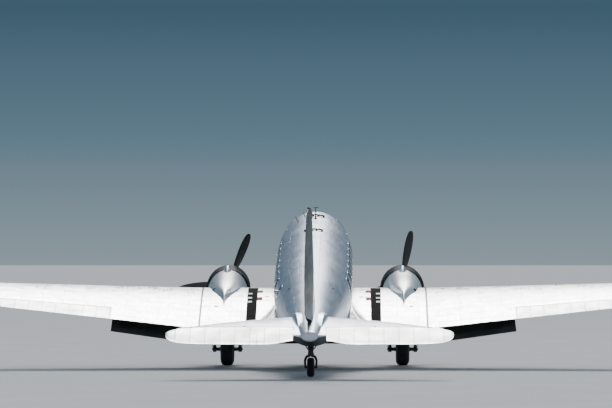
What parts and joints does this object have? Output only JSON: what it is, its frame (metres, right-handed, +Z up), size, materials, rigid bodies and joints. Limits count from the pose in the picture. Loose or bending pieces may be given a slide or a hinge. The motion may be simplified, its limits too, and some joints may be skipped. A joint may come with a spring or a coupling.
{
  "type": "twin-engined tail-wheel airliner",
  "caption": "Low-wing propeller airliner of polished metal, parked nose-up on main wheels and a tail wheel, with split flaps, working controls, a cabin door and radial engines.",
  "frame": {"origin": "bottom centre of the whole aircraft's box as it stands, on the ground", "axes": "+X to starboard along the span, +Y towards the nose, +Z up"},
  "size_m": [28.96, 19.8232, 4.9541],
  "materials": {
    "aluminium": "polished bare sheet",
    "fabric": "silver-doped fabric skin",
    "steel": "painted and bare steel",
    "exhaust": "heat-stained",
    "rubber": "worn rubber",
    "black": "matt black",
    "glass": "clear",
    "lining": "matt lining",
    "leather": "worn"
  },
  "bodies": {
    "airframe": {"nose": "aluminium", "cockpit": "aluminium", "cabin_front": "aluminium", "cabin_rear": "aluminium", "tail_cone": "aluminium", "windscreen_right": "glass", "windscreen_left": "glass", "cockpit_window_right": "glass", "cockpit_window_left": "glass", "cockpit_floor": "lining", "cabin_floor": "lining", "bulkhead": "lining", "instrument_panel": "black", "pilot_seat_left": "leather", "pilot_seat_right": "leather", "seats_left": "leather", "seats_right": "leather", "wing_centre": "aluminium", "wing_right": "aluminium", "wing_left": "aluminium", "nacelle_right": "aluminium", "nacelle_left": "aluminium", "cowl_right": "aluminium", "cowl_left": "aluminium", "engine_right": "steel", "engine_left": "steel", "exhaust_right": "exhaust", "exhaust_left": "exhaust", "gear_right": "steel", "gear_left": "steel", "tail_strut": "steel", "fin": "aluminium", "tailplane_right": "aluminium", "tailplane_left": "aluminium"},
    "passenger_door": {"passenger_door": "aluminium"},
    "flap_centre": {"flap_centre": "aluminium"},
    "flap_right": {"flap_right": "aluminium"},
    "flap_left": {"flap_left": "aluminium"},
    "aileron_right": {"aileron_right": "fabric"},
    "aileron_left": {"aileron_left": "fabric"},
    "elevator_right": {"elevator_right": "fabric"},
    "elevator_left": {"elevator_left": "fabric"},
    "rudder": {"rudder": "fabric"},
    "airscrew_right": {"airscrew_right": "black"},
    "airscrew_left": {"airscrew_left": "black"},
    "main_wheel_right": {"main_tyre_right": "rubber", "main_rim_right": "aluminium"},
    "main_wheel_left": {"main_tyre_left": "rubber", "main_rim_left": "aluminium"},
    "tail_fork": {"tail_fork": "steel"},
    "tail_wheel": {"tail_tyre": "rubber", "tail_rim": "aluminium"}
  },
  "joints": [
    {"name": "passenger_door_hinge", "type": "hinge", "parent": "airframe", "child": "passenger_door", "pos_m": [-1.13546, -1.44105, 2.08259], "axis": [0, 0.1908, -0.9816], "range_deg": [0, 100]},
    {"name": "flap_centre_hinge", "type": "hinge", "parent": "airframe", "child": "flap_centre", "pos_m": [-3.5, 1.68133, 1.34848], "axis": [1, 0, 0], "range_deg": [-45, 0]},
    {"name": "flap_right_hinge", "type": "hinge", "parent": "airframe", "child": "flap_right", "pos_m": [3.65, 1.67908, 1.35841], "axis": [0.9937, -0.0247, 0.1089], "range_deg": [-45, 0]},
    {"name": "flap_left_hinge", "type": "hinge", "parent": "airframe", "child": "flap_left", "pos_m": [-3.65, 1.67908, 1.35841], "axis": [0.9937, 0.0247, -0.1089], "range_deg": [-45, 0]},
    {"name": "aileron_right_hinge", "type": "hinge", "parent": "airframe", "child": "aileron_right", "pos_m": [6.29, 1.87433, 1.80712], "axis": [0.9948, -0.0433, 0.0924], "range_deg": [-22, 22]},
    {"name": "aileron_left_hinge", "type": "hinge", "parent": "airframe", "child": "aileron_left", "pos_m": [-6.29, 1.87433, 1.80712], "axis": [0.9948, 0.0433, -0.0924], "range_deg": [-22, 22]},
    {"name": "elevator_right_hinge", "type": "hinge", "parent": "airframe", "child": "elevator_right", "pos_m": [0.47, -8.11233, 1.39451], "axis": [1, 0, 0], "range_deg": [-43, 7]},
    {"name": "elevator_left_hinge", "type": "hinge", "parent": "airframe", "child": "elevator_left", "pos_m": [-0.47, -8.11233, 1.39451], "axis": [1, 0, 0], "range_deg": [-43, 7]},
    {"name": "rudder_hinge", "type": "hinge", "parent": "airframe", "child": "rudder", "pos_m": [0, -8.02451, 1.67645], "axis": [0, -0.1908, 0.9816], "range_deg": [-25.5, 34.5]},
    {"name": "airscrew_right_spin", "type": "hinge", "parent": "airframe", "child": "airscrew_right", "pos_m": [2.82, 7.99292, 2.65571], "axis": [0, 0.9816, 0.1908], "continuous": true},
    {"name": "airscrew_left_spin", "type": "hinge", "parent": "airframe", "child": "airscrew_left", "pos_m": [-2.82, 7.99292, 2.65571], "axis": [0, 0.9816, 0.1908], "continuous": true},
    {"name": "main_wheel_right_spin", "type": "hinge", "parent": "airframe", "child": "main_wheel_right", "pos_m": [2.82, 5.9937, 0.52], "axis": [1, 0, 0], "continuous": true},
    {"name": "main_wheel_left_spin", "type": "hinge", "parent": "airframe", "child": "main_wheel_left", "pos_m": [-2.82, 5.9937, 0.52], "axis": [1, 0, 0], "continuous": true},
    {"name": "tail_fork_swivel", "type": "hinge", "parent": "airframe", "child": "tail_fork", "pos_m": [0, -5.65676, 0.665], "axis": [0, 0, 1], "continuous": true},
    {"name": "tail_wheel_spin", "type": "hinge", "parent": "tail_fork", "child": "tail_wheel", "pos_m": [0, -5.77676, 0.28], "axis": [1, 0, 0], "continuous": true}
  ],
  "couplings": [
    {"joint": "flap_right_hinge", "follows": "flap_centre_hinge", "ratio": 1},
    {"joint": "flap_left_hinge", "follows": "flap_centre_hinge", "ratio": 1},
    {"joint": "elevator_left_hinge", "follows": "elevator_right_hinge", "ratio": 1},
    {"joint": "aileron_left_hinge", "follows": "aileron_right_hinge", "ratio": -1}
  ]
}
